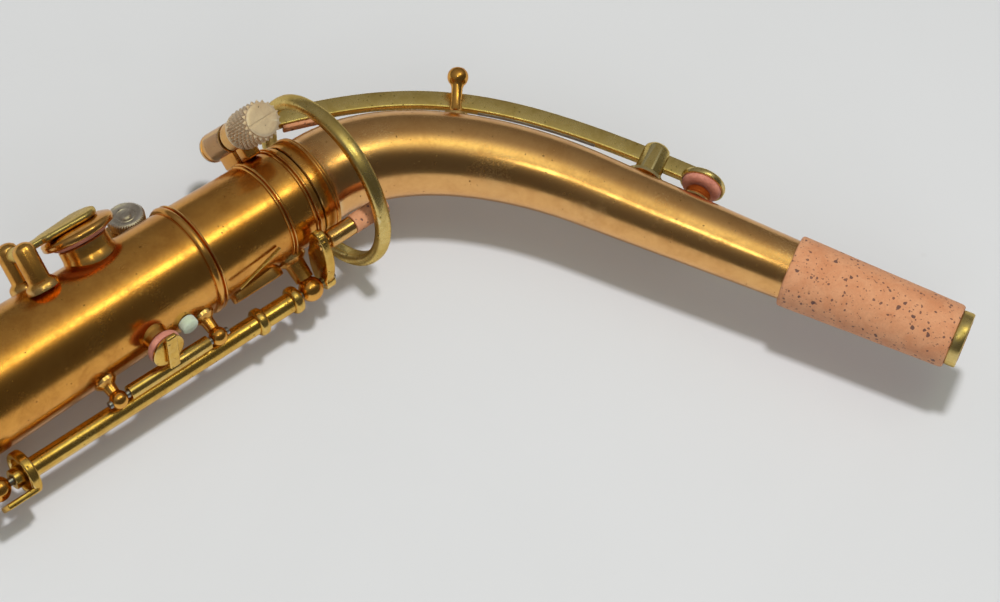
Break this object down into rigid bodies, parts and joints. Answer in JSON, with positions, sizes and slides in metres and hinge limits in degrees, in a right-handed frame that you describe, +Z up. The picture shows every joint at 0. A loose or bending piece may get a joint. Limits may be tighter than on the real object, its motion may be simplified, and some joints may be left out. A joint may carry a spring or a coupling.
{
  "type": "saxophone neck with octave key",
  "caption": "Curved conical neck with cork end and hinged octave key, seated in the clamped socket of a short keyed body tube.",
  "frame": {"origin": "under the middle of the part's box, on the surface that the horn lies on", "axes": "+X up the body axis towards the neck, +Y to the back of the horn (outside of the bend), +Z up, square to the plane of the bend"},
  "size_m": [0.2242, 0.164, 0.0522],
  "materials": {
    "lacquer": "dark gold lacquer, glossy",
    "key_brass": "pale gold lacquer, satin",
    "cork": "natural cork, sanded",
    "leather": "pad leather, soft",
    "steel": "plain steel",
    "nickel": "worn nickel plate",
    "pale_brass": "bare brass, satin",
    "felt": "felt"
  },
  "bodies": {
    "horn": {"body_tube": "lacquer", "body_ring": "lacquer", "neck_socket": "lacquer", "lever_post_rib": "lacquer", "lever_post_lower": "key_brass", "lever_post_upper": "key_brass", "side_tone_chimney": "lacquer", "side_key_post_front": "lacquer", "side_key_post_back": "lacquer", "side_key_screw": "steel", "low_tone_chimney": "lacquer", "low_key_rod": "steel", "low_key_post_lower": "key_brass", "low_key_post_upper": "key_brass", "felt_bumper": "felt", "lyre_socket": "lacquer"},
    "neck": {"neck_tube": "lacquer", "neck_tenon": "key_brass", "neck_collar": "lacquer", "neck_cork": "cork", "tip_ring": "key_brass", "octave_pip": "lacquer", "octave_saddle": "key_brass", "octave_hinge_screw": "steel", "octave_guide_post": "key_brass"},
    "octave_key": {"octave_arm": "key_brass", "octave_ring": "key_brass", "octave_cup": "key_brass", "octave_pad": "leather", "octave_bumper_cork": "cork", "octave_spring": "steel"},
    "octave_lever": {"lever_rod": "steel", "lever_tube": "key_brass", "thumb_touch": "key_brass", "lift_leaf": "key_brass", "lift_pin": "key_brass", "lift_pin_sleeve": "cork"},
    "side_key": {"side_key_pad": "leather", "side_key_cup": "lacquer", "side_key_arm": "key_brass"},
    "low_key": {"low_key_pad": "leather", "low_key_cup": "lacquer", "low_key_arm": "key_brass", "low_key_tube": "key_brass"},
    "clamp_screw": {"clamp_screw": "pale_brass"},
    "lyre_screw": {"lyre_screw": "nickel"}
  },
  "joints": [
    {"name": "neck_swivel", "type": "hinge", "parent": "horn", "child": "neck", "pos_m": [-0.0001, 0.05433, 0.02389], "axis": [1, 0, 0], "range_deg": [-20, 20]},
    {"name": "octave_key_hinge", "type": "hinge", "parent": "neck", "child": "octave_key", "pos_m": [0.07781, 0.00853, 0.02389], "axis": [0, 0, 1], "range_deg": [0, 1.8], "stiffness_Nm_per_rad": 0.15, "springref_deg": -17.19},
    {"name": "octave_lever_hinge", "type": "hinge", "parent": "horn", "child": "octave_lever", "pos_m": [-0.0001, 0.03393, 0.01469], "axis": [1, 0, 0], "range_deg": [0, 10], "stiffness_Nm_per_rad": 0.08, "springref_deg": -17.19},
    {"name": "side_key_hinge", "type": "hinge", "parent": "horn", "child": "side_key", "pos_m": [-0.0736, 0.07315, 0.03807], "axis": [0, -0.6018, 0.7986], "range_deg": [0, 9], "stiffness_Nm_per_rad": 0.06, "springref_deg": -17.19},
    {"name": "low_key_hinge", "type": "hinge", "parent": "horn", "child": "low_key", "pos_m": [-0.0001, 0.0343, 0.02], "axis": [1, 0, 0], "range_deg": [0, 12], "stiffness_Nm_per_rad": 0.05, "springref_deg": -17.19},
    {"name": "clamp_screw_turn", "type": "hinge", "parent": "horn", "child": "clamp_screw", "pos_m": [-0.0082, 0.07205, 0.03315], "axis": [0.0803, -0.4618, 0.8834], "range_deg": [0, 720]},
    {"name": "lyre_screw_turn", "type": "hinge", "parent": "horn", "child": "lyre_screw", "pos_m": [-0.0403, 0.07141, 0.01801], "axis": [0, 0.3256, 0.9455], "range_deg": [0, 720]}
  ],
  "couplings": [
    {"joint": "octave_key_hinge", "follows": "octave_lever_hinge", "ratio": 0.18}
  ]
}
